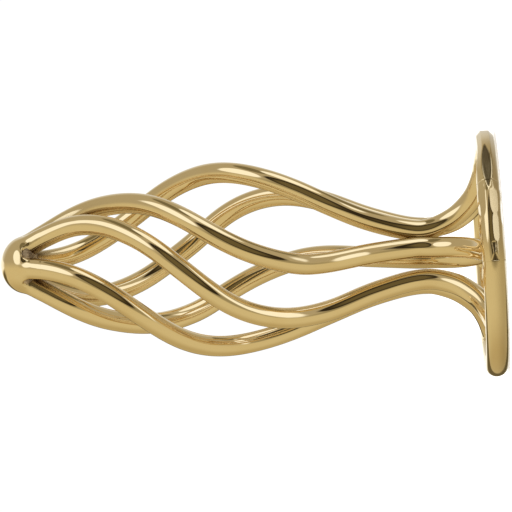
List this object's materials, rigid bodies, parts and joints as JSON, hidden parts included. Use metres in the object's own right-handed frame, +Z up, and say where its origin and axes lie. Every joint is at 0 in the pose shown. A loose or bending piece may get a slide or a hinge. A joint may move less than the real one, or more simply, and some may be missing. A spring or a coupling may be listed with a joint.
{
  "type": "twisted rod cage on a ring foot",
  "caption": "Open cage of twisted round metal rods, closed at a domed nose, drawn in to a waist and flared out onto a flat ring foot.",
  "frame": {"origin": "centre of the foot ring, on the plane that the ring stands on", "axes": "+Z up from the ring towards the domed nose; the ring's closing weld is on the -Y side; the cage leans towards +X"},
  "size_m": [0.0472, 0.0473, 0.0951],
  "materials": {
    "polished_gold": "polished",
    "ground_gold": "ground and polished in flats",
    "raw_weld": "rough as welded"
  },
  "bodies": {
    "root": {"rod_1": "polished_gold", "rod_2": "polished_gold", "rod_3": "polished_gold", "rod_4": "polished_gold", "rod_5": "polished_gold", "rod_6": "polished_gold", "ring_weld_1": "polished_gold", "ring_weld_2": "polished_gold", "ring_weld_3": "polished_gold", "ring_weld_4": "polished_gold", "ring_weld_5": "polished_gold", "ring_weld_6": "polished_gold", "foot_ring": "polished_gold", "ring_closing_weld": "ground_gold", "nose_dome": "polished_gold", "nose_core": "raw_weld"}
  },
  "joints": []
}
